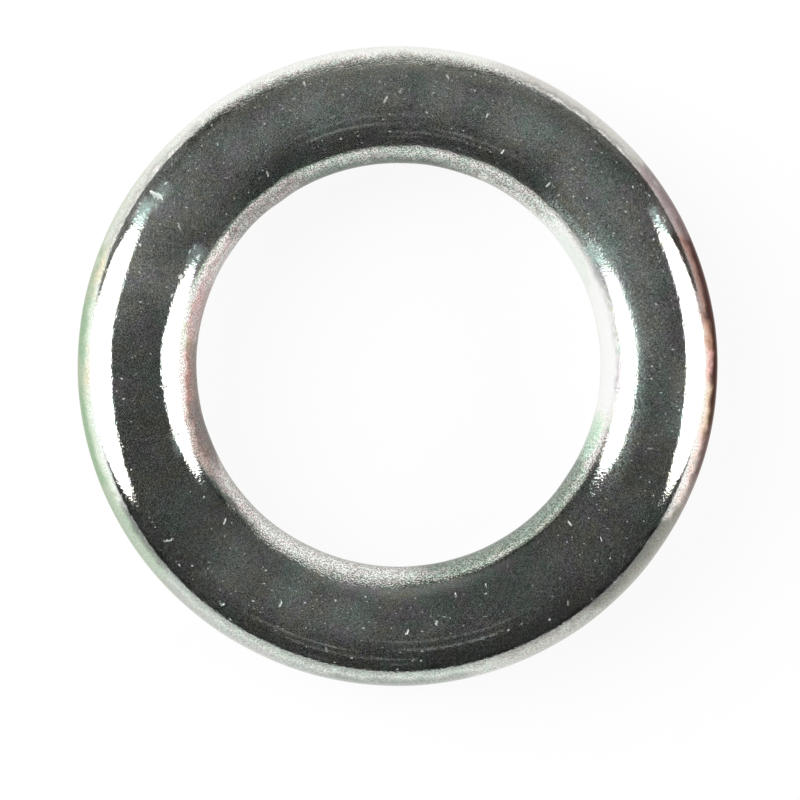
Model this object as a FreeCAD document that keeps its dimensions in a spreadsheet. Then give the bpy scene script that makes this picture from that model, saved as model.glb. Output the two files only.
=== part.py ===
import FreeCAD, Part
import Sketcher
import os

# Welded ring: a round steel bar bent into a circle, its two ends butt welded
# and the weld dressed back until it stands only slightly proud of the bar.
# The ring lies flat, its axis along +Z, with the origin at its centre.

# Driving dimensions, in millimetres and degrees. weld_place is where the bar's
# ends meet, counted round the axis from +X, and weld_width is how much of the
# bar's length the dressed weld takes up.
SIZES = (
    ("bar_diameter", "10"),
    ("inside_diameter", "35"),
    ("weld_place", "125"),
    ("weld_width", "4"),
    ("weld_crown", "0.05"),
)

# Steps from one side of the weld to the other, each with a section of its own.
WELD_STEPS = 8

# Sizes that follow from the driving ones.
BAR_RADIUS = "Sizes.bar_diameter / 2"
RING_RADIUS = "(Sizes.inside_diameter + Sizes.bar_diameter) / 2"
HALF_WELD_ANGLE = f"(Sizes.weld_width / 2) / ({RING_RADIUS}) * 180 deg / pi"

doc = FreeCAD.newDocument("WeldedRing")

sheet = doc.addObject("Spreadsheet::Sheet", "Sizes")
for row, (alias, number) in enumerate(SIZES, start=1):
    sheet.set(f"A{row}", alias)
    sheet.set(f"B{row}", number)
    sheet.setAlias(f"B{row}", alias)
doc.recompute()


def origin_plane(body, role):
    """The body's own origin plane that has this role."""
    return next(plane for plane in body.Origin.OriginFeatures if plane.Role == role)


def bar_section(body, name, turn, radius):
    """A round section of the bar, on a plane that holds the ring's axis.

    turn, the plane's angle round the axis, and the section's radius are
    expressions of the driving dimensions.
    """
    sketch = body.newObject("Sketcher::SketchObject", name)
    sketch.AttachmentSupport = (origin_plane(body, "XZ_Plane"), "")
    sketch.MapMode = "FlatFace"
    # The sketch's y axis is the ring's axis, so its plane turns round that. The
    # section lies on the -x side, where a circle starts towards the axis, so
    # that the seam of the finished surface runs along the inside of the ring.
    about_axis = FreeCAD.Rotation(FreeCAD.Vector(0, 1, 0), 180)
    sketch.AttachmentOffset = FreeCAD.Placement(FreeCAD.Vector(), about_axis)
    sketch.setExpression("AttachmentOffset.Rotation.Angle", f"180 deg + {turn}")
    # The circle is drawn roughly here, then placed and sized by constraints.
    centre = FreeCAD.Vector(-sheet.inside_diameter, 0, 0)
    outline = Part.Circle(centre, FreeCAD.Vector(0, 0, 1), sheet.bar_diameter)
    circle = sketch.addGeometry(outline)
    sketch.addConstraint(Sketcher.Constraint("PointOnObject", circle, 3, -1))
    reach = sketch.addConstraint(Sketcher.Constraint("DistanceX", circle, 3, -1, 1, -centre.x))
    sketch.setExpression(f"Constraints[{reach}]", RING_RADIUS)
    size = sketch.addConstraint(Sketcher.Constraint("Radius", circle, outline.Radius))
    sketch.setExpression(f"Constraints[{size}]", radius)
    return sketch


def bend_bar(body):
    """The bar bent round, from one end at the weld to the other."""
    section = bar_section(body, "BarEnd", HALF_WELD_ANGLE, BAR_RADIUS)
    bend = body.newObject("PartDesign::Revolution", "BentBar")
    bend.Profile = section
    bend.ReferenceAxis = (section, ["V_Axis"])
    bend.setExpression("Angle", f"360 deg - 2 * {HALF_WELD_ANGLE}")


def weld_ends(body):
    """The dressed weld, which swells from the bar and sinks back to it.

    Its sections run from one bar end, at -1, over the crown, at 0, to the
    other end, at 1, and swell along a bell curve.
    """
    sections = []
    for step in range(WELD_STEPS + 1):
        across = 2 * step / WELD_STEPS - 1
        turn = f"{across} * {HALF_WELD_ANGLE}"
        swell = f"Sizes.weld_crown * (1 + cos({across} * 180 deg)) / 2"
        section = bar_section(body, f"WeldSection{step}", turn, f"{BAR_RADIUS} + {swell}")
        sections.append(section)
    weld = body.newObject("PartDesign::AdditiveLoft", "Weld")
    weld.Profile = sections[0]
    weld.Sections = sections[1:]


ring = doc.addObject("PartDesign::Body", "Ring")
ring.Label = "ring"
bend_bar(ring)
doc.recompute()
weld_ends(ring)
ring.setExpression("Placement.Rotation.Angle", "Sizes.weld_place * 1 deg")
doc.recompute()

for item in doc.Objects:
    if "Invalid" in item.State or "Error" in item.State:
        raise RuntimeError(f"{item.Label} failed to build: {item.State}")

shape = ring.Shape
if shape.isNull() or not shape.isValid() or len(shape.Solids) != 1:
    raise RuntimeError("the ring is not one valid solid")
box = shape.optimalBoundingBox(False, False)
print(f"ring {box.XLength:.2f} x {box.YLength:.2f} x {box.ZLength:.2f} mm, {shape.Volume:.0f} mm3")

os.makedirs("parts", exist_ok=True)
shape.exportStep(os.path.join("parts", f"{ring.Label}.step"))
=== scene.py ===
import math

import bpy
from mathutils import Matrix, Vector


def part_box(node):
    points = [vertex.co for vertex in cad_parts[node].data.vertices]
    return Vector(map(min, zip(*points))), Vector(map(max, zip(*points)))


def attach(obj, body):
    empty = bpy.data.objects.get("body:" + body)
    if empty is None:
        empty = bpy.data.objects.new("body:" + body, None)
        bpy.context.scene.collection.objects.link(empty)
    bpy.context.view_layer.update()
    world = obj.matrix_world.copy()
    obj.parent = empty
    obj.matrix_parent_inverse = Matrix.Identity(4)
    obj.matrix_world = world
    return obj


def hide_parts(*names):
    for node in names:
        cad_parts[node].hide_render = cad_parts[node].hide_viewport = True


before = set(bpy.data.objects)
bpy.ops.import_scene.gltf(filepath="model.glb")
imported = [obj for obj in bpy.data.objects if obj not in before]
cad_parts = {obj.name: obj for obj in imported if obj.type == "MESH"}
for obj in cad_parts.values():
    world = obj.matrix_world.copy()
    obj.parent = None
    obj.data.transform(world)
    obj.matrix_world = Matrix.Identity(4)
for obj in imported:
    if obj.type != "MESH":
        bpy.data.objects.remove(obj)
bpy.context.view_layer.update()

# The ring: one round bar of steel bent into a circle, its ends butt welded and
# the weld dressed back. All of it is plated with bright zinc, which is a little
# hazy and grainy, shows faint colours on its flanks and has small nicks.
BAR_RADIUS = 0.005
RING_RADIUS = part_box("ring")[1].x - BAR_RADIUS
RING_STEPS = 720
BAR_SIDES = 128
MERGE_WITHIN = 1e-6

bpy.ops.object.select_all(action="DESELECT")
bpy.ops.mesh.primitive_circle_add(
    vertices=BAR_SIDES,
    radius=BAR_RADIUS,
    location=(RING_RADIUS, 0, 0),
    rotation=(math.pi / 2, 0, 0),
)
ring = bpy.context.object
ring.name = "welded_ring"
bpy.ops.object.transform_apply(location=True, rotation=True, scale=True)
bend = ring.modifiers.new("bend", "SCREW")
bend.axis = "Z"
bend.steps = RING_STEPS
bend.render_steps = RING_STEPS
bend.use_merge_vertices = True
bend.merge_threshold = MERGE_WITHIN
bpy.ops.object.modifier_apply(modifier=bend.name)
bpy.ops.object.mode_set(mode="EDIT")
bpy.ops.mesh.select_all(action="SELECT")
bpy.ops.mesh.remove_doubles(threshold=MERGE_WITHIN)
bpy.ops.mesh.normals_make_consistent(inside=False)
bpy.ops.object.mode_set(mode="OBJECT")
bpy.ops.object.shade_smooth()


def turned_from(vertex, way):
    """How far round the ring a vertex lies from this way, in radians."""
    return math.remainder(math.atan2(vertex.co.y, vertex.co.x) - way, 2 * math.pi)


def lift(group, height):
    """Move a group of the ring's vertices this far off its surface, each by its weight."""
    raised = ring.modifiers.new(group.name, "DISPLACE")
    raised.vertex_group = group.name
    raised.strength = height
    raised.mid_level = 0
    bpy.ops.object.modifier_apply(modifier=raised.name)


# The dressed weld stands slightly proud where the bar's ends meet.
WELD_WAY = math.radians(125)
WELD_WIDTH = 0.004
WELD_CROWN = 0.00005
weld = ring.vertex_groups.new(name="weld")
for vertex in ring.data.vertices:
    across = turned_from(vertex, WELD_WAY) * RING_RADIUS / (WELD_WIDTH / 2)
    if abs(across) < 1:
        weld.add([vertex.index], (1 + math.cos(math.pi * across)) / 2, "REPLACE")
lift(weld, WELD_CROWN)

# The inner side, squeezed in bending, is thicker towards the lower left.
THICK_WAY = math.radians(233)
THICKER = 0.00025
inside = ring.vertex_groups.new(name="inside")
thick_side = ring.vertex_groups.new(name="thick_side")
for vertex in ring.data.vertices:
    inward = (RING_RADIUS - vertex.co.xy.length) / BAR_RADIUS
    if inward > 0:
        turned = turned_from(vertex, THICK_WAY)
        inside.add([vertex.index], inward, "REPLACE")
        thick_side.add([vertex.index], inward * (1 + math.cos(turned)) / 2, "REPLACE")
lift(thick_side, THICKER)

# The bottom of the ring is pressed a little flat, on top towards the inner
# side. FLAT_TILT is how far its middle leans in from straight up, and the
# pressed place ends FLAT_END times its spread and reach away.
FLAT_WAY = math.radians(256)
FLAT_SPREAD = math.radians(20)
FLAT_TILT = math.radians(57)
FLAT_REACH = math.radians(14)
FLAT_END = 3
FLAT_DEPTH = 0.00015
pressed = ring.vertex_groups.new(name="pressed_flat")
for vertex in ring.data.vertices:
    tilt = math.atan2(RING_RADIUS - vertex.co.xy.length, vertex.co.z)
    turned = turned_from(vertex, FLAT_WAY)
    apart = ((tilt - FLAT_TILT) / FLAT_REACH) ** 2 + (turned / FLAT_SPREAD) ** 2
    if apart < FLAT_END ** 2:
        pressed.add([vertex.index], math.exp(-apart), "REPLACE")
lift(pressed, -FLAT_DEPTH)

# The unevenness that bending and rolling left, with each kind's depth, its
# length, its level and the vertices that it is kept to, if not to all. At
# level 1 it only goes into the bar, and at level 0 only out of it.
UNEVENNESS = (
    ("bending_waves", 0.00010, 0.011, 1, ""),
    ("rolling_marks", 0.00003, 0.005, 1, ""),
    ("inner_creases", 0.00011, 0.007, 0, "inside"),
    ("inner_dents", 0.00005, 0.0032, 0, "inside"),
)
for name, depth, length, level, group in UNEVENNESS:
    pattern = bpy.data.textures.new(name, "CLOUDS")
    pattern.noise_scale = length
    pattern.noise_depth = 1
    wave = ring.modifiers.new(name, "DISPLACE")
    wave.texture = pattern
    wave.texture_coords = "LOCAL"
    wave.strength = depth
    wave.mid_level = level
    wave.vertex_group = group
    bpy.ops.object.modifier_apply(modifier=wave.name)


def add(tree, kind, sockets, **settings):
    """A new shader node, with each named socket set to a value or fed by another's output."""
    node = tree.nodes.new("ShaderNode" + kind)
    for name, value in settings.items():
        setattr(node, name, value)
    for name, value in sockets.items():
        if isinstance(value, bpy.types.NodeSocket):
            tree.links.new(value, node.inputs[name])
        else:
            node.inputs[name].default_value = value
    return node


def calculate(tree, operation, *values, clamp=False):
    """What a Math node makes of these values."""
    node = add(tree, "Math", dict(enumerate(values)), operation=operation, use_clamp=clamp)
    return node.outputs[0]


def product(tree, first, *others):
    """All of these values multiplied."""
    for other in others:
        first = calculate(tree, "MULTIPLY", first, other)
    return first


def largest(tree, first, *others):
    """The largest of these values."""
    for other in others:
        first = calculate(tree, "MAXIMUM", first, other)
    return first


def vector(tree, operation, sockets, output="Vector"):
    """What a Vector Math node makes of these sockets' values."""
    return add(tree, "VectorMath", sockets, operation=operation).outputs[output]


def ramp(tree, value, start, end, low=0.0, high=1.0):
    """The value, spread smoothly from low at start to high at end."""
    sockets = {"Value": value, "From Min": start, "From Max": end, "To Min": low, "To Max": high}
    return add(tree, "MapRange", sockets, interpolation_type="SMOOTHSTEP").outputs["Result"]


def noise(tree, place, size, detail=0.0):
    """Soft random patches of about this size, in the place's own units."""
    sockets = {"Vector": place, "Scale": 1 / size, "Detail": detail}
    return add(tree, "TexNoise", sockets).outputs["Fac"]


def blend(tree, share, first, second, how="MIX"):
    """Two colours mixed by this share of the second."""
    node = add(tree, "Mix", {}, data_type="RGBA", blend_type=how)
    sockets = (node.inputs[0], node.inputs[6], node.inputs[7])
    for socket, value in zip(sockets, (share, first, second)):
        if isinstance(value, bpy.types.NodeSocket):
            tree.links.new(value, socket)
        else:
            socket.default_value = value
    return node.outputs[2]


def near(tree, azimuth, way, core, spread):
    """1 within the core's angle of this way from the centre, and 0 past the spread, in degrees."""
    turned = calculate(tree, "SUBTRACT", azimuth, math.radians(way))
    ends = (math.cos(math.radians(angle)) for angle in (spread, core))
    return ramp(tree, calculate(tree, "COSINE", turned), *ends)


def dash(tree, off, turn, length, width, full):
    """A straight mark with soft ends, 1 in its middle and 0 past its edge.

    off is the way there from the mark's middle, and full is the share of its
    length and width that is all mark.
    """
    turned = add(tree, "VectorRotate", {"Vector": off, "Angle": turn}, rotation_type="Z_AXIS")
    scale = (2 / width, 2 / length, 0)
    scaled = vector(tree, "MULTIPLY", {0: turned.outputs[0], 1: scale})
    return ramp(tree, vector(tree, "LENGTH", {0: scaled}, "Value"), 1.0, full)


def nicks(tree, place, spacing, length, width, share, lean):
    """Short straight marks across the bar, in this share of the cells of a random net.

    place is in millimetres along the bar and round it, and lean is how far the
    marks turn from straight across, in radians.
    """
    sockets = {"Vector": place, "Scale": 1 / spacing}
    cell = add(tree, "TexVoronoi", sockets, voronoi_dimensions="2D")
    chance = add(tree, "SeparateColor", {"Color": cell.outputs["Color"]})
    off = vector(tree, "SUBTRACT", {0: place, 1: cell.outputs["Position"]})
    turn = calculate(tree, "MULTIPLY_ADD", chance.outputs["Red"], 2 * lean, -lean)
    here = dash(tree, off, turn, length, width, full=0.5)
    chosen = calculate(tree, "LESS_THAN", chance.outputs["Green"], share)
    return product(tree, here, product(tree, chosen, chance.outputs["Blue"]))


# The zinc plating: one metal, whose roughness, colour and relief follow from
# where a point lies on the bar. Ways from the centre count from the right, so
# that 90 degrees is the top of the ring.
zinc = bpy.data.materials.new("zinc_plated_steel")
zinc.use_nodes = True
tree = zinc.node_tree
shader = tree.nodes["Principled BSDF"]

# Places on the bar, in millimetres: how far out a point is, which way it
# faces, and where it lies along the bar and round it. out is 1 at the ring's
# outer edge, 0 along the middle of the bar and -1 at the inner edge.
MM = 1000
point = add(tree, "TexCoord", {}).outputs["Object"]
place = vector(tree, "SCALE", {0: point, "Scale": MM})
x, y, z = add(tree, "SeparateXYZ", {0: place}).outputs
level_place = add(tree, "CombineXYZ", {"X": x, "Y": y}).outputs[0]
radius = vector(tree, "LENGTH", {0: level_place}, "Value")
offset = calculate(tree, "SUBTRACT", radius, RING_RADIUS * MM)
out = calculate(tree, "DIVIDE", offset, BAR_RADIUS * MM)
azimuth = calculate(tree, "ARCTAN2", y, x)
along = product(tree, azimuth, RING_RADIUS * MM)
around = product(tree, calculate(tree, "ARCTAN2", z, offset), BAR_RADIUS * MM)
bar = add(tree, "CombineXYZ", {"X": along, "Y": around}).outputs[0]

# The haze: pits too fine to see singly scatter the light. They are thicker in
# five patches, each with the way it lies from the centre, its core and its
# spread in degrees, and the share of pits that it adds to BARE. They thin out
# away from a line round the top of the bar, which runs further out at the top
# of the ring than at its bottom and bends in at LINE_DIP. WORN has a few more,
# on the inner side.
GRAIN = 0.09
NOISE_ENDS = (0.3, 0.7)
BARE = 0.08
DULL_PATCHES = (
    (78, 80, 104, 0.17),
    (84, 18, 45, 0.05),
    (251, 5, 34, 0.15),
    (30, 6, 22, 0.06),
    (320, 10, 50, 0.03),
)
LINE_SWAY = 0.13
LINE_OUT = -0.06
LINE_DIP = (24, 10, 32)
LINE_DIP_DEPTH = 0.28
THIN_FROM = 0.1
THIN_TO = 0.75
THINNEST = 0.25
CLOUD_SIZE = 4.0
CLOUDS = (0.75, 1.25)
WORN = (152, 5, 22)
WORN_OUT = (0.4, -0.3)
WORN_SHARE = 0.06

grain = ramp(tree, noise(tree, place, GRAIN, 1.0), *NOISE_ENDS)
dull = BARE
for way, core, spread, share in DULL_PATCHES:
    dull = calculate(tree, "MULTIPLY_ADD", near(tree, azimuth, way, core, spread), share, dull)
clouds = ramp(tree, noise(tree, place, CLOUD_SIZE, 3.0), *NOISE_ENDS, *CLOUDS)
line = calculate(tree, "MULTIPLY_ADD", calculate(tree, "SINE", azimuth), LINE_SWAY, LINE_OUT)
line = calculate(tree, "MULTIPLY_ADD", near(tree, azimuth, *LINE_DIP), -LINE_DIP_DEPTH, line)
away = calculate(tree, "ABSOLUTE", calculate(tree, "SUBTRACT", out, line))
thin = ramp(tree, away, THIN_FROM, THIN_TO, 1.0, THINNEST)
worn = product(tree, near(tree, azimuth, *WORN), ramp(tree, out, *WORN_OUT, 0.0, WORN_SHARE))
haze = product(tree, calculate(tree, "MULTIPLY_ADD", dull, thin, worn), clouds)

# The frosted strips, patchy and almost white, each with the way it lies from
# the centre, its core and spread in degrees, how far out it starts, is fullest
# and ends, and the most pits that it has.
FROST_SIZE = 0.12
FROST_ENDS = (0.46, 0.56)
FROSTED = (
    (5, 26, 42, -0.18, -0.44, -0.72, 0.55),
    (37, 6, 16, -0.56, -0.70, -0.84, 0.75),
    (98, 22, 44, 0.58, 0.65, 0.72, 0.3),
)
patchy = ramp(tree, noise(tree, place, FROST_SIZE, 1.0), *FROST_ENDS)
frost = 0.0
for way, core, spread, start, full, end, most in FROSTED:
    rising = ramp(tree, out, start, full, 0.0, most)
    here = product(tree, near(tree, azimuth, way, core, spread), rising)
    here = product(tree, here, ramp(tree, out, end, full), patchy)
    frost = largest(tree, frost, here)

# The scuffs: patches of scratches across the bar, each with the way it lies
# from the centre, in degrees, how far out it is and how dense.
SCUFFS = (
    (29.0, 0.55, 0.8),
    (30.0, -0.70, 0.8),
    (144.5, 0.43, 0.5),
    (149.0, 0.50, 1.0),
    (151.5, -0.64, 0.6),
    (199.5, -0.62, 0.5),
)
SCUFF_CORE = 1
SCUFF_SPREAD = 4
SCUFF_WIDTH = 0.18
SCUFF_MIDDLE = 0.05
scuffed = 0.0
for way, where, dense in SCUFFS:
    beside = calculate(tree, "ABSOLUTE", calculate(tree, "SUBTRACT", out, where))
    here = product(tree, near(tree, azimuth, way, SCUFF_CORE, SCUFF_SPREAD), dense)
    here = product(tree, here, ramp(tree, beside, SCUFF_WIDTH, SCUFF_MIDDLE))
    scuffed = largest(tree, scuffed, here)

# Each tiny cell of the surface is by chance a pit, smeared or smooth, with more
# pits where it is hazy, frosted or scuffed.
PIT = 0.015
PITS_IN_GRAIN = (0.68, 1.32)
PITS_IN_SCUFFS = 0.35
SMEARS_TO_PITS = 1.15
share = product(tree, haze, ramp(tree, grain, 0.0, 1.0, *PITS_IN_GRAIN))
share = largest(tree, share, frost)
share = calculate(tree, "MULTIPLY_ADD", scuffed, PITS_IN_SCUFFS, share)
cell = vector(tree, "SNAP", {0: place, 1: (PIT, PIT, PIT)})
chance = add(tree, "TexWhiteNoise", {"Vector": cell}).outputs["Value"]
pits = calculate(tree, "LESS_THAN", chance, share)
smears = calculate(tree, "LESS_THAN", chance, product(tree, share, SMEARS_TO_PITS))

# The small wear: a few marks, and specks and dust, with more of both where it
# is hazy. None of it reaches the flanks.
FEWEST_SPECKS = 0.03
SPECKS_IN_HAZE = 0.75
DUST_IN_HAZE = 0.8
WEAR_ENDS = (0.75, 0.62)
speckled = calculate(tree, "MULTIPLY_ADD", haze, SPECKS_IN_HAZE, FEWEST_SPECKS)
dusty = product(tree, haze, DUST_IN_HAZE)
marks = nicks(tree, bar, spacing=2.6, length=0.7, width=0.22, share=0.25, lean=0.7)
specks = nicks(tree, bar, spacing=0.9, length=0.24, width=0.18, share=speckled, lean=1.5)
dust = nicks(tree, bar, spacing=0.42, length=0.13, width=0.12, share=dusty, lean=1.5)
damage = largest(tree, marks, specks, dust)
damage = product(tree, damage, ramp(tree, calculate(tree, "ABSOLUTE", out), *WEAR_ENDS))

# Scratches that stand out, each with the way it lies from the centre, in
# degrees, how far out it is, its length and width in millimetres, and how far
# it turns from straight across the bar, in degrees. Their edges are ragged.
SCRATCHES = (
    (144.8, 0.50, 1.50, 0.30, -4),
    (144.6, 0.39, 0.90, 0.32, 14),
    (144.7, 0.40, 0.80, 0.26, -78),
    (150.4, 0.50, 1.10, 0.32, -29),
    (149.3, 0.46, 0.70, 0.32, 43),
    (154.8, 0.27, 0.36, 0.20, 7),
    (147.4, -0.16, 0.90, 0.12, 39),
    (157.5, -0.57, 0.60, 0.45, -38),
    (151.2, -0.67, 0.55, 0.32, -81),
    (162.7, -0.53, 0.55, 0.18, -87),
    (217.3, 0.33, 1.00, 0.18, 20),
    (29.3, 0.53, 0.75, 0.55, -72),
    (92.6, -0.04, 0.95, 0.20, -148),
    (89.4, 0.10, 0.60, 0.15, -155),
    (278.6, -0.16, 0.55, 0.22, 0),
)
RAGGED_SIZE = 0.2
RAGGED = 0.35
sockets = {"Vector": place, "Scale": 1 / RAGGED_SIZE, "Detail": 1.0}
shift = add(tree, "TexNoise", sockets).outputs["Color"]
shift = vector(tree, "SCALE", {0: shift, "Scale": RAGGED})
ragged = vector(tree, "ADD", {0: bar, 1: shift})
ragged = vector(tree, "SUBTRACT", {0: ragged, 1: (RAGGED / 2, RAGGED / 2, 0)})
for way, where, length, width, turn in SCRATCHES:
    turned = math.remainder(math.radians(way), 2 * math.pi)
    middle = (turned * RING_RADIUS * MM, math.acos(where) * BAR_RADIUS * MM, 0)
    off = vector(tree, "SUBTRACT", {0: ragged, 1: middle})
    scratch = dash(tree, off, math.radians(turn), length, width, full=0.4)
    damage = largest(tree, damage, scratch)

# The strokes that the scuffs are made of.
STROKE_SHARE = 0.6
STROKE_STRENGTH = 1.8
stroked = product(tree, scuffed, STROKE_SHARE)
strokes = nicks(tree, ragged, spacing=0.55, length=0.5, width=0.2, share=stroked, lean=1.5)
scuffs = calculate(tree, "MULTIPLY", strokes, STROKE_STRENGTH, clamp=True)

# The satin parts of the inner flank, on the right and the left.
SATIN = ((10, 20, 36), (182, 18, 34))
SATIN_OUT = (-0.70, -0.78)
satin = 0.0
for where in SATIN:
    satin = largest(tree, satin, near(tree, azimuth, *where))
satin = product(tree, satin, ramp(tree, out, *SATIN_OUT))

POLISHED_ROUGH = 0.07
SMEARED_ROUGH = 0.25
PITTED_ROUGH = 0.75
DAMAGED_ROUGH = 0.5
SCUFFED_ROUGH = 0.45
SATIN_ROUGH = 0.24
rough = calculate(tree, "MULTIPLY_ADD", smears, SMEARED_ROUGH - POLISHED_ROUGH, POLISHED_ROUGH)
rough = calculate(tree, "MULTIPLY_ADD", pits, PITTED_ROUGH - SMEARED_ROUGH, rough)
rough = largest(tree, rough, product(tree, damage, DAMAGED_ROUGH))
rough = largest(tree, rough, product(tree, scuffs, SCUFFED_ROUGH))
rough = largest(tree, rough, product(tree, satin, SATIN_ROUGH))
tree.links.new(rough, shader.inputs["Roughness"])

# The colours of the top: zinc with faint patches of olive, green and violet
# and warm and cool flecks, more olive on the outer side at the top of the ring,
# greener where it is hazy, and bluish green where it is frosted or scuffed.
ZINC = (0.76, 0.78, 0.76, 1)
OLIVE = (0.78, 0.77, 0.69, 1)
GREEN = (0.68, 0.79, 0.73, 1)
VIOLET = (0.78, 0.73, 0.78, 1)
WARM = (1.0, 0.98, 0.96, 1)
COOL = (0.96, 0.995, 1.0, 1)
HAZY_ZINC = (0.75, 0.80, 0.77, 1)
TEAL = (0.76, 0.93, 0.89, 1)
PATCH_SIZE = 3.0
OLIVE_PATCHES = (0.5, 0.62)
GREEN_PATCHES = (0.5, 0.38)
VIOLET_SIZE = 2.2
VIOLET_PATCHES = (0.5, 0.64)
FLECK_SIZE = 0.55
FLECK_ENDS = (0.4, 0.6)
OLIVE_SIDE = (92, 25, 60)
OLIVE_OUT = (0.25, 0.60)
OLIVE_SHARE = 0.8
patches = noise(tree, place, PATCH_SIZE, 5.0)
colour = blend(tree, ramp(tree, patches, *OLIVE_PATCHES), ZINC, OLIVE)
colour = blend(tree, ramp(tree, patches, *GREEN_PATCHES), colour, GREEN)
violet = ramp(tree, noise(tree, place, VIOLET_SIZE, 5.0), *VIOLET_PATCHES)
colour = blend(tree, violet, colour, VIOLET)
flecks = ramp(tree, noise(tree, place, FLECK_SIZE, 2.0), *FLECK_ENDS)
flecks = blend(tree, flecks, WARM, COOL)
olive = product(tree, ramp(tree, out, *OLIVE_OUT), near(tree, azimuth, *OLIVE_SIDE), OLIVE_SHARE)
colour = blend(tree, olive, colour, OLIVE)
colour = blend(tree, haze, colour, HAZY_ZINC)
colour = blend(tree, 1.0, colour, flecks, "MULTIPLY")
colour = blend(tree, largest(tree, frost, scuffed), colour, TEAL)

# The colours of the flanks: faint tints of the clear film over the zinc, together with painted
# reflections of the table's light and shade, in bands that change from where the flank starts to
# the edge. The darker bands, most of all at the outer edge on the right and on the inner flank,
# are painted shadow of the table, and the white bands inside on the right are its painted light.
# Each place on a side has the way it lies from the centre, its core and spread in degrees, and its
# bands. A side is 1 outside and -1 inside, with how far out its bands start and end, in bar radii,
# its usual bands and its places. The bands' borders wander: UNEVEN is how much across the bar, in
# bar radii, and STRAY along it, in radians.
PALE = ((0.40, 0.40, 0.37), (0.71, 0.71, 0.66), (0.96, 0.96, 0.92))
DUN = ((0.95, 0.95, 0.91), (0.45, 0.43, 0.40), (0.66, 0.64, 0.60))
LIT = ((1.0, 1.0, 0.96), (0.66, 0.66, 0.61), (0.90, 0.91, 0.86))
MAUVE = ((0.55, 0.52, 0.50), (0.42, 0.34, 0.34), (0.30, 0.25, 0.26))
# BRONZE, COPPER, PINK, GOLD and BLUSH end in painted shadow of the table, at the outer edge on the
# right.
BRONZE = ((0.42, 0.36, 0.34), (0.42, 0.26, 0.22), (0.09, 0.06, 0.06))
COPPER = ((0.90, 0.76, 0.68), (0.66, 0.40, 0.29), (0.06, 0.04, 0.035))
PINK = ((1.0, 0.92, 0.88), (1.0, 0.60, 0.55), (0.07, 0.04, 0.045))
GOLD = ((1.0, 0.96, 0.86), (0.92, 0.70, 0.52), (0.09, 0.065, 0.05))
BLUSH = ((1.0, 0.95, 0.92), (1.0, 0.72, 0.66), (0.20, 0.15, 0.15))
SAND = ((1.0, 0.98, 0.94), (0.95, 0.82, 0.74), (0.34, 0.29, 0.28))
DIM = ((0.22, 0.22, 0.21), (0.27, 0.275, 0.235), (0.36, 0.36, 0.32))
HUSH = ((0.38, 0.38, 0.36), (0.54, 0.55, 0.50), (0.54, 0.54, 0.51))
LEAF = ((0.48, 0.52, 0.48), (0.67, 0.73, 0.66), (0.57, 0.59, 0.57))
FERN = ((0.44, 0.48, 0.44), (0.68, 0.73, 0.67), (0.36, 0.39, 0.36))
CREAM = ((0.90, 0.90, 0.85), (0.84, 0.88, 0.67), (0.52, 0.64, 0.45))
SAGE = ((0.26, 0.28, 0.26), (0.51, 0.62, 0.48), (0.62, 0.69, 0.61))
STRAW = ((1.0, 0.96, 0.84), (0.90, 0.86, 0.66), (0.62, 0.68, 0.54))
MINT = ((0.94, 0.98, 0.93), (0.79, 0.89, 0.74), (0.45, 0.60, 0.44))
GREY = ((0.60, 0.63, 0.58), (0.46, 0.49, 0.45), (0.26, 0.29, 0.27))
DUSK = ((0.50, 0.48, 0.46), (0.34, 0.31, 0.29), (0.52, 0.49, 0.48))
HEATHER = ((0.86, 0.80, 0.77), (0.60, 0.51, 0.48), (0.78, 0.72, 0.71))
# A white band: painted light of the table, seen on the inner flank on the right.
LIT_WHITE_BAND = ((1.0, 1.0, 1.0), (1.0, 1.0, 0.98), (1.0, 1.0, 0.98))
ASH = ((0.66, 0.66, 0.63), (0.46, 0.47, 0.44), (0.85, 0.85, 0.80))
ROSE = ((1.0, 0.95, 0.93), (0.74, 0.53, 0.50), (0.64, 0.51, 0.50))
RED = ((1.0, 0.86, 0.83), (0.50, 0.28, 0.25), (0.38, 0.30, 0.28))
OCHRE = ((1.0, 0.94, 0.84), (0.52, 0.40, 0.30), (0.40, 0.33, 0.29))
WINE = ((0.60, 0.48, 0.45), (0.29, 0.21, 0.19), (0.28, 0.24, 0.23))
MILKY = ((0.70, 0.70, 0.66), (0.82, 0.81, 0.76), (0.86, 0.83, 0.80))
SHADE = ((0.16, 0.16, 0.15), (0.50, 0.46, 0.44), (0.72, 0.68, 0.66))
MOSS = ((0.56, 0.61, 0.54), (0.30, 0.36, 0.29), (0.38, 0.44, 0.39))
REED = ((0.98, 1.0, 0.96), (0.87, 0.93, 0.86), (0.90, 0.95, 0.91))
DEW = ((1.0, 1.0, 0.94), (0.88, 1.0, 0.84), (0.68, 0.88, 0.72))
OUTSIDE = (
    (252, 28, 50, LEAF),
    (269, 6, 20, FERN),
    (184, 12, 36, CREAM),
    (166, 2, 6, STRAW),
    (174, 3, 8, MINT),
    (183, 2, 6, STRAW),
    (193, 5, 14, MINT),
    (212, 4, 12, SAGE),
    (51, 9, 26, DUN),
    (145, 8, 17, LIT),
    (303, 6, 16, HUSH),
    (321, 9, 19, DIM),
    (344, 5, 13, SAND),
    (349, 3, 10, BLUSH),
    (355, 2, 9, GOLD),
    (2, 1, 8, PINK),
    (9, 3, 9, COPPER),
    (19, 5, 13, BRONZE),
    (32, 3, 10, MAUVE),
)
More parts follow.
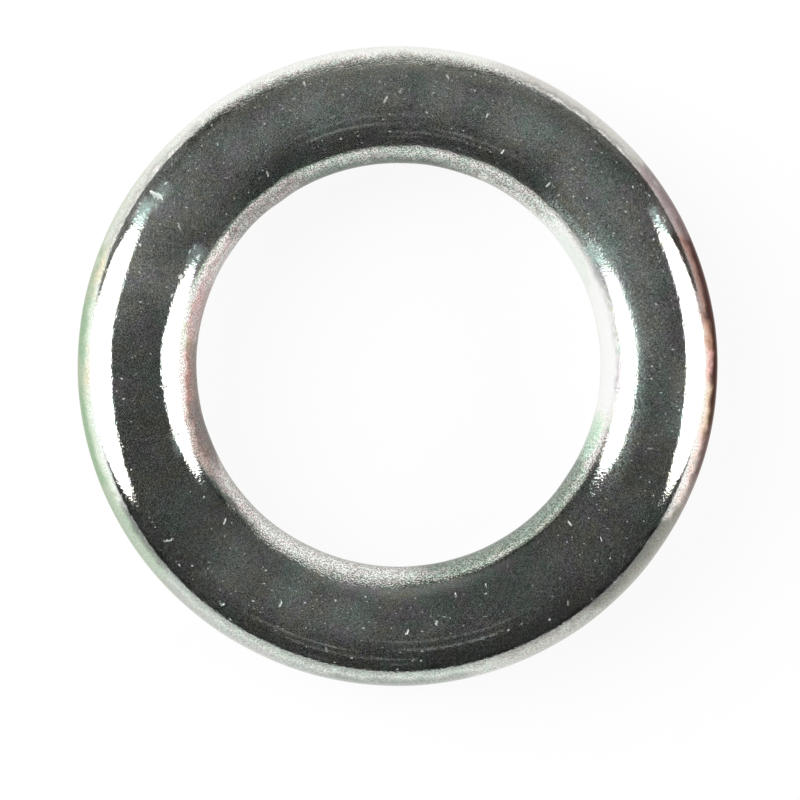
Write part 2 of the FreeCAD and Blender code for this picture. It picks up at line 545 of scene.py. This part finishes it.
INSIDE = (
    (130, 6, 17, DUSK),
    (151, 5, 14, HEATHER),
    (16, 27, 42, LIT_WHITE_BAND),
    (40, 10, 22, REED),
    (338, 4, 11, DEW),
    (58, 5, 15, ASH),
    (246, 18, 36, MILKY),
    (308, 14, 32, MOSS),
    (216, 8, 16, SHADE),
    (198, 6, 13, WINE),
    (168, 6, 14, ROSE),
    (176, 2, 7, OCHRE),
    (185, 4, 10, RED),
)
SIDES = ((1, 0.65, 0.89, PALE, OUTSIDE), (-1, 0.835, 0.995, GREY, INSIDE))
FILM_AND_REFLECTION_FADE = 0.1
UNEVEN_SIZE = 1.6
UNEVEN = 0.24
STRAY_SIZE = 2.0
STRAY = 0.3


def film_and_painted_reflection(tree, depth, bands):
    """The film's tints and the painted reflections of the table's light and shade, spread over the
    depth from 0 to 1.
    """
    node = add(tree, "ValToRGB", {"Fac": depth})
    first, middle, last = bands
    node.color_ramp.elements[0].color = (*first, 1)
    node.color_ramp.elements[1].color = (*last, 1)
    node.color_ramp.elements.new(0.5).color = (*middle, 1)
    return node.outputs["Color"]


uneven = noise(tree, place, UNEVEN_SIZE, 3.0)
uneven = calculate(tree, "MULTIPLY_ADD", uneven, UNEVEN, -UNEVEN / 2)
strayed = noise(tree, place, STRAY_SIZE, 2.0)
strayed = calculate(tree, "MULTIPLY_ADD", strayed, STRAY, -STRAY / 2)
strayed = calculate(tree, "ADD", azimuth, strayed)
for side, first, last, usual, places in SIDES:
    steep = calculate(tree, "MULTIPLY_ADD", out, side, uneven)
    depth = ramp(tree, steep, first, last)
    flank = film_and_painted_reflection(tree, depth, usual)
    for way, core, spread, bands in places:
        here = near(tree, strayed, way, core, spread)
        flank = blend(tree, here, flank, film_and_painted_reflection(tree, depth, bands))
    colour = blend(tree, ramp(tree, steep, first - FILM_AND_REFLECTION_FADE, first), colour, flank)

# The speckle: crystals of zinc, coarse and in faint colours on the flanks and
# fine elsewhere. The inner flank is smooth on the right and finer on the left,
# and the outer one is coarsest at the top of the ring and next at its bottom.
ROSY = (1.0, 0.95, 0.96, 1)
GREENISH = (0.93, 1.0, 0.97, 1)
CRYSTAL_SIZE = 0.14
CRYSTAL_ENDS = (0.36, 0.64)
TINT_SIZE = 0.8
TINT_ENDS = (0.4, 0.6)
INNER_COARSE = (-0.72, -0.82)
SMOOTH = (12, 18, 42)
FINER = (182, 22, 45)
COARSEST = 1.3
FINER_SHARE = 0.8
BELOW = (286, 42, 64)
BELOW_OUT = (0.60, 0.70)
BELOW_SHARES = (0.28, 0.6)
ABOVE = (98, 22, 46)
ABOVE_OUT = (0.56, 0.64)
ABOVE_ENDS = (0.85, 0.68)
FINE_CONTRAST = 0.05
HAZY_CONTRAST = 0.5
COARSE_LEVEL = 0.58
COARSE_CONTRAST = 0.8
crystals = ramp(tree, noise(tree, place, CRYSTAL_SIZE, 1.0), *CRYSTAL_ENDS)
rest = calculate(tree, "SUBTRACT", 1.0, near(tree, azimuth, *SMOOTH))
coarse = product(tree, ramp(tree, out, *INNER_COARSE), rest)
finer = ramp(tree, near(tree, azimuth, *FINER), 0.0, 1.0, COARSEST, FINER_SHARE)
coarse = product(tree, coarse, finer)
below = ramp(tree, near(tree, azimuth, *BELOW), 0.0, 1.0, *BELOW_SHARES)
coarse = calculate(tree, "MULTIPLY_ADD", ramp(tree, out, *BELOW_OUT), below, coarse)
above = product(tree, near(tree, azimuth, *ABOVE), ramp(tree, out, *ABOVE_OUT))
coarse = calculate(tree, "MULTIPLY_ADD", above, ramp(tree, out, *ABOVE_ENDS), coarse)
contrast = calculate(tree, "MULTIPLY_ADD", haze, HAZY_CONTRAST, FINE_CONTRAST)
level = calculate(tree, "SUBTRACT", grain, 0.5)
level = calculate(tree, "MULTIPLY_ADD", level, contrast, 1.0)
rugged = calculate(tree, "MULTIPLY_ADD", crystals, COARSE_CONTRAST, COARSE_LEVEL)
sockets = {"Factor": coarse, "A": level, "B": rugged}
level = add(tree, "Mix", sockets, clamp_factor=False).outputs["Result"]
shade = add(tree, "CombineColor", {"Red": level, "Green": level, "Blue": level}).outputs[0]
tint = ramp(tree, noise(tree, place, TINT_SIZE, 2.0), *TINT_ENDS)
tint = blend(tree, tint, ROSY, GREENISH)
colour = blend(tree, 1.0, colour, shade, "MULTIPLY")
colour = blend(tree, coarse, colour, tint, "MULTIPLY")

# The damage and the scuffs are paler. Where the inner flank turns under, it
# fades to white on the left, with a ragged border.
DAMAGED = (0.95, 0.97, 0.95, 1)
DAMAGED_SHARE = 0.6
SCUFFED = (0.84, 0.98, 0.95, 1)
WHITE = (1, 1, 1, 1)
FRINGE = (185, 25, 45)
FRINGE_OUT = (-0.90, -0.98)
FRINGE_HEIGHTS = (0.35, -0.25)
FRINGE_RAGGED = 0.3
FRINGE_SHARE = 0.9
colour = blend(tree, product(tree, damage, DAMAGED_SHARE), colour, DAMAGED)
colour = blend(tree, scuffs, colour, SCUFFED)
fringe = calculate(tree, "MULTIPLY_ADD", crystals, FRINGE_RAGGED, z)
fringe = ramp(tree, fringe, *FRINGE_HEIGHTS, 0.0, FRINGE_SHARE)
fringe = product(tree, fringe, near(tree, azimuth, *FRINGE), ramp(tree, out, *FRINGE_OUT))
colour = blend(tree, fringe, colour, WHITE)
tree.links.new(colour, shader.inputs["Base Color"])

# The relief: a slight ripple, fine teeth, lumps under the scuffs, a sandy grain
# in three places, and the nicks. Each sandy place has the way it lies from the
# centre, its core and spread in degrees, how far out it starts and is full, and
# its strength. Sizes are in millimetres.
RIPPLE_SIZE = 0.6
RIPPLE_DEPTH = 0.000003
TEETH_SIZE = 0.2
TEETH_DEPTH = 0.000009
LUMP_SIZE = 0.9
LUMP_DEPTH = 0.000012
SAND_SIZE = 0.13
SAND_DEPTH = 0.00002
NICK_DEPTH = 0.00005
SANDY = (
    (92, 14, 50, -0.2, 0.4, 1.0),
    (258, 20, 48, -0.50, -0.70, 1.0),
    (12, 24, 42, -0.30, -0.50, 0.7),
)
sandy = 0.0
for way, core, spread, start, full, most in SANDY:
    here = product(tree, ramp(tree, out, start, full), near(tree, azimuth, way, core, spread))
    sandy = largest(tree, sandy, product(tree, here, most))
normal = None
for height, strength, deep in (
    (noise(tree, place, RIPPLE_SIZE, 1.0), 1.0, RIPPLE_DEPTH),
    (noise(tree, place, TEETH_SIZE, 1.0), 1.0, TEETH_DEPTH),
    (noise(tree, place, LUMP_SIZE, 2.0), scuffed, LUMP_DEPTH),
    (noise(tree, place, SAND_SIZE, 0.0), sandy, SAND_DEPTH),
    (calculate(tree, "SUBTRACT", 1.0, damage), 1.0, NICK_DEPTH),
):
    bump = add(tree, "Bump", {"Strength": strength, "Distance": deep, "Height": height})
    if normal:
        tree.links.new(normal, bump.inputs["Normal"])
    normal = bump.outputs[0]
tree.links.new(normal, shader.inputs["Normal"])

# At a glancing angle the outer edge is pale, but brown on the right and green on the left, and the
# inner edge is grey, but pale on the right. These edge tints are painted reflections of the table:
# the brown, green and grey edges are darkened as painted shadow, the green one also tinted, and
# the pale edges are its painted light.
PALE_LIT_EDGE = (0.92, 0.92, 0.90, 1)
BROWN_SHADOW_EDGE = (0.50, 0.43, 0.41, 1)
GREEN_SHADOW_EDGE = (0.64, 0.70, 0.59, 1)
GREY_SHADOW_EDGE = (0.60, 0.60, 0.58, 1)
GREEN_SIDE = (185, 20, 55)
BROWN_SIDE = (3, 15, 45)
PALE_SIDE = (16, 26, 46)
EDGES_MEET = (-0.2, 0.2)
edge = blend(tree, near(tree, azimuth, *GREEN_SIDE), PALE_LIT_EDGE, GREEN_SHADOW_EDGE)
edge = blend(tree, near(tree, azimuth, *BROWN_SIDE), edge, BROWN_SHADOW_EDGE)
inner_edge = blend(tree, near(tree, azimuth, *PALE_SIDE), GREY_SHADOW_EDGE, PALE_LIT_EDGE)
edge = blend(tree, ramp(tree, out, *EDGES_MEET), inner_edge, edge)
tree.links.new(edge, shader.inputs["Specular Tint"])
shader.inputs["Metallic"].default_value = 1
ring.data.materials.append(zinc)

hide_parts("ring")
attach(ring, "root")

# The place it lies on: a white table under a pale sky, with a soft lamp from
# the left and two overlapping round softboxes on each side. What shines sees
# a dark room, black cards behind the ring and faint strips in front of it.
FLOOR_SIZE = 8
FLOOR_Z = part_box("ring")[0].z
FLOOR_COLOUR = (0.92, 0.92, 0.92, 1)
WHITE_SHARE = 0.9

bpy.ops.object.select_all(action="DESELECT")
bpy.ops.mesh.primitive_plane_add(size=FLOOR_SIZE, location=(0, 0, FLOOR_Z))
floor = bpy.context.object
floor.name = "floor"
paper = bpy.data.materials.new("white_table")
paper.use_nodes = True
tree = paper.node_tree
matt = tree.nodes["Principled BSDF"]
matt.inputs["Base Color"].default_value = FLOOR_COLOUR
matt.inputs["Roughness"].default_value = 1
matt.inputs["Specular IOR Level"].default_value = 0
bright = add(tree, "Emission", {"Color": WHITE, "Strength": 1.0})
rays = add(tree, "LightPath", {})
shine = calculate(tree, "ADD", rays.outputs["Is Glossy Ray"], rays.outputs["Is Transmission Ray"])
seen = calculate(tree, "ADD", rays.outputs["Is Camera Ray"], shine, clamp=True)
seen = product(tree, seen, WHITE_SHARE)
either = add(tree, "MixShader", {0: seen, 1: matt.outputs[0], 2: bright.outputs[0]})
tree.links.new(either.outputs[0], tree.nodes["Material Output"].inputs["Surface"])
floor.data.materials.append(paper)

# The black cards, each from one way to another round the ring, in degrees.
CARD_COLOUR = (0.04, 0.045, 0.042, 1)
CARD_NEAR = 0.080
CARD_FAR = 2.0
CARD_LIFT = 0.0002
CARDS = ((14, 76), (122, 167))
black = bpy.data.materials.new("black_card")
black.use_nodes = True
matt = black.node_tree.nodes["Principled BSDF"]
matt.inputs["Base Color"].default_value = CARD_COLOUR
matt.inputs["Roughness"].default_value = 1
for first, last in CARDS:
    corners = []
    for away, way in ((CARD_NEAR, first), (CARD_FAR, first), (CARD_FAR, last), (CARD_NEAR, last)):
        turned = math.radians(way)
        corner = (away * math.cos(turned), away * math.sin(turned), FLOOR_Z + CARD_LIFT)
        corners.append(corner)
    sheet = bpy.data.meshes.new("black_card")
    sheet.from_pydata(corners, [], [(0, 1, 2, 3)])
    sheet.materials.append(black)
    card = bpy.data.objects.new("black_card", sheet)
    bpy.context.scene.collection.objects.link(card)
    card.visible_camera = False
    card.visible_diffuse = False
    card.visible_shadow = False

# The sky lights the ring, the camera sees plain white, and what shines sees the
# room, dark with a glow at the back and a low brighter strip under it.
SKY_LEVEL = 0.30
ROOM_COLOUR = (0.96, 1.0, 0.95, 1)
ROOM_LEVELS = (0.03, 0.05)
ROOM_ENDS = (-1.0, 0.6)
GLOW_LEVEL = 0.17
GLOW_NARROW = 10.0
LOW_LEVEL = 0.32
LOW_TOP = 0.12
LOW_SIDES = (0.88, 0.98)
world = bpy.data.worlds.new("studio")
bpy.context.scene.world = world
world.use_nodes = True
tree = world.node_tree
sky = tree.nodes["Background"]
sky.inputs["Color"].default_value = WHITE
sky.inputs["Strength"].default_value = SKY_LEVEL
plain = add(tree, "Background", {"Color": WHITE, "Strength": 1.0})
direction = add(tree, "TexCoord", {}).outputs["Generated"]
ways = add(tree, "SeparateXYZ", {0: direction}).outputs
behind, up = ways["Y"], ways["Z"]
glow = calculate(tree, "POWER", calculate(tree, "MAXIMUM", behind, 0.0), GLOW_NARROW)
low = product(tree, ramp(tree, up, LOW_TOP, 0.0), ramp(tree, behind, *LOW_SIDES))
level = ramp(tree, behind, *ROOM_ENDS, *ROOM_LEVELS)
level = calculate(tree, "MULTIPLY_ADD", glow, GLOW_LEVEL, level)
level = calculate(tree, "MULTIPLY_ADD", low, LOW_LEVEL, level)
room = add(tree, "Background", {"Color": ROOM_COLOUR, "Strength": level})
rays = add(tree, "LightPath", {})
shining = {0: rays.outputs["Is Glossy Ray"], 1: sky.outputs[0], 2: room.outputs[0]}
lit = add(tree, "MixShader", shining)
watched = {0: rays.outputs["Is Camera Ray"], 1: lit.outputs[0], 2: plain.outputs[0]}
either = add(tree, "MixShader", watched)
tree.links.new(either.outputs[0], tree.nodes["World Output"].inputs["Surface"])

# The softboxes, each with its side, its place along y and up, its width and its
# height.
SOFTBOX_X = 0.183
SOFTBOX_LEVEL = 3.2
SOFTBOXES = (
    (-1, 0.004, 0.084, 0.192, 0.178),
    (-1, 0.056, 0.126, 0.086, 0.122),
    (1, 0.0025, 0.074, 0.181, 0.158),
    (1, 0.048, 0.100, 0.090, 0.100),
)
for side, along_y, up, width, height in SOFTBOXES:
    lamp = bpy.data.lights.new("softbox", "AREA")
    lamp.shape = "ELLIPSE"
    lamp.size = height
    lamp.size_y = width
    area = math.pi * width * height / 4
    lamp.energy = SOFTBOX_LEVEL * math.pi * area
    softbox = bpy.data.objects.new("softbox", lamp)
    softbox.location = (side * SOFTBOX_X, along_y, up)
    softbox.rotation_euler = (0, side * math.pi / 2, 0)
    softbox.visible_camera = False
    bpy.context.scene.collection.objects.link(softbox)

# The strips in front, each with how high it stands, in degrees, its middle along
# x, its length and its thickness. They are patchy.
STRIP_AWAY = 0.5
STRIP_LEVEL = 0.36
STRIP_DIMMEST = 0.25
STRIP_PATCH = 0.03
STRIP_ENDS = (0.38, 0.62)
STRIPS = (
    (67, 0.03, 0.12, 0.016),
    (50, 0.065, 0.12, 0.030),
    (43, -0.13, 0.16, 0.022),
    (31, -0.08, 0.20, 0.018),
    (20, 0.00, 0.06, 0.014),
    (11, -0.135, 0.05, 0.012),
)
faint = bpy.data.materials.new("faint_strip")
faint.use_nodes = True
tree = faint.node_tree
spot = noise(tree, add(tree, "TexCoord", {}).outputs["Object"], STRIP_PATCH, 1.0)
spot = ramp(tree, spot, *STRIP_ENDS, STRIP_DIMMEST * STRIP_LEVEL, STRIP_LEVEL)
shine = add(tree, "Emission", {"Strength": spot})
tree.links.new(shine.outputs[0], tree.nodes["Material Output"].inputs["Surface"])
for degrees, middle, length, thick in STRIPS:
    rise = math.radians(degrees)
    bpy.ops.mesh.primitive_plane_add(
        size=1,
        location=(middle, -STRIP_AWAY * math.cos(rise), STRIP_AWAY * math.sin(rise)),
        rotation=(math.pi / 2 - rise, 0, 0),
    )
    strip = bpy.context.object
    strip.name = "faint_strip"
    strip.scale = (length, thick, 1)
    bpy.ops.object.transform_apply(location=False, rotation=False, scale=True)
    strip.data.materials.append(faint)
    strip.visible_camera = False
    strip.visible_diffuse = False
    strip.visible_shadow = False

# The soft lamp, which the metal doesn't see.
KEY_LEVEL = 4.5
KEY_PLACE = (-0.31, 0.13, 0.30)
KEY_SIZE = 0.36
lamp = bpy.data.lights.new("key", "AREA")
lamp.shape = "DISK"
lamp.size = KEY_SIZE
lamp.energy = KEY_LEVEL * math.pi * math.pi * (lamp.size / 2) ** 2
key = bpy.data.objects.new("key", lamp)
key.location = KEY_PLACE
key.rotation_euler = key.location.to_track_quat("Z", "Y").to_euler()
key.visible_camera = False
key.visible_glossy = False
bpy.context.scene.collection.objects.link(key)

# The camera looks straight down on the ring, whose centre is a little above and
# left of the middle of the picture, as counted in the picture's 800 pixels.
PICTURE = 800
CAMERA_HEIGHT = 0.183
LENS = 95.9
NEAREST = 0.01
CENTRE_LEFT = 2.35 / PICTURE
CENTRE_UP = 34 / PICTURE
eye = bpy.data.cameras.new("camera")
eye.lens = LENS
eye.shift_x = CENTRE_LEFT
eye.shift_y = -CENTRE_UP
eye.clip_start = NEAREST
camera = bpy.data.objects.new("camera", eye)
camera.location = (0, 0, CAMERA_HEIGHT)
bpy.context.scene.collection.objects.link(camera)
bpy.context.scene.camera = camera

bpy.context.scene.view_settings.view_transform = "Standard"
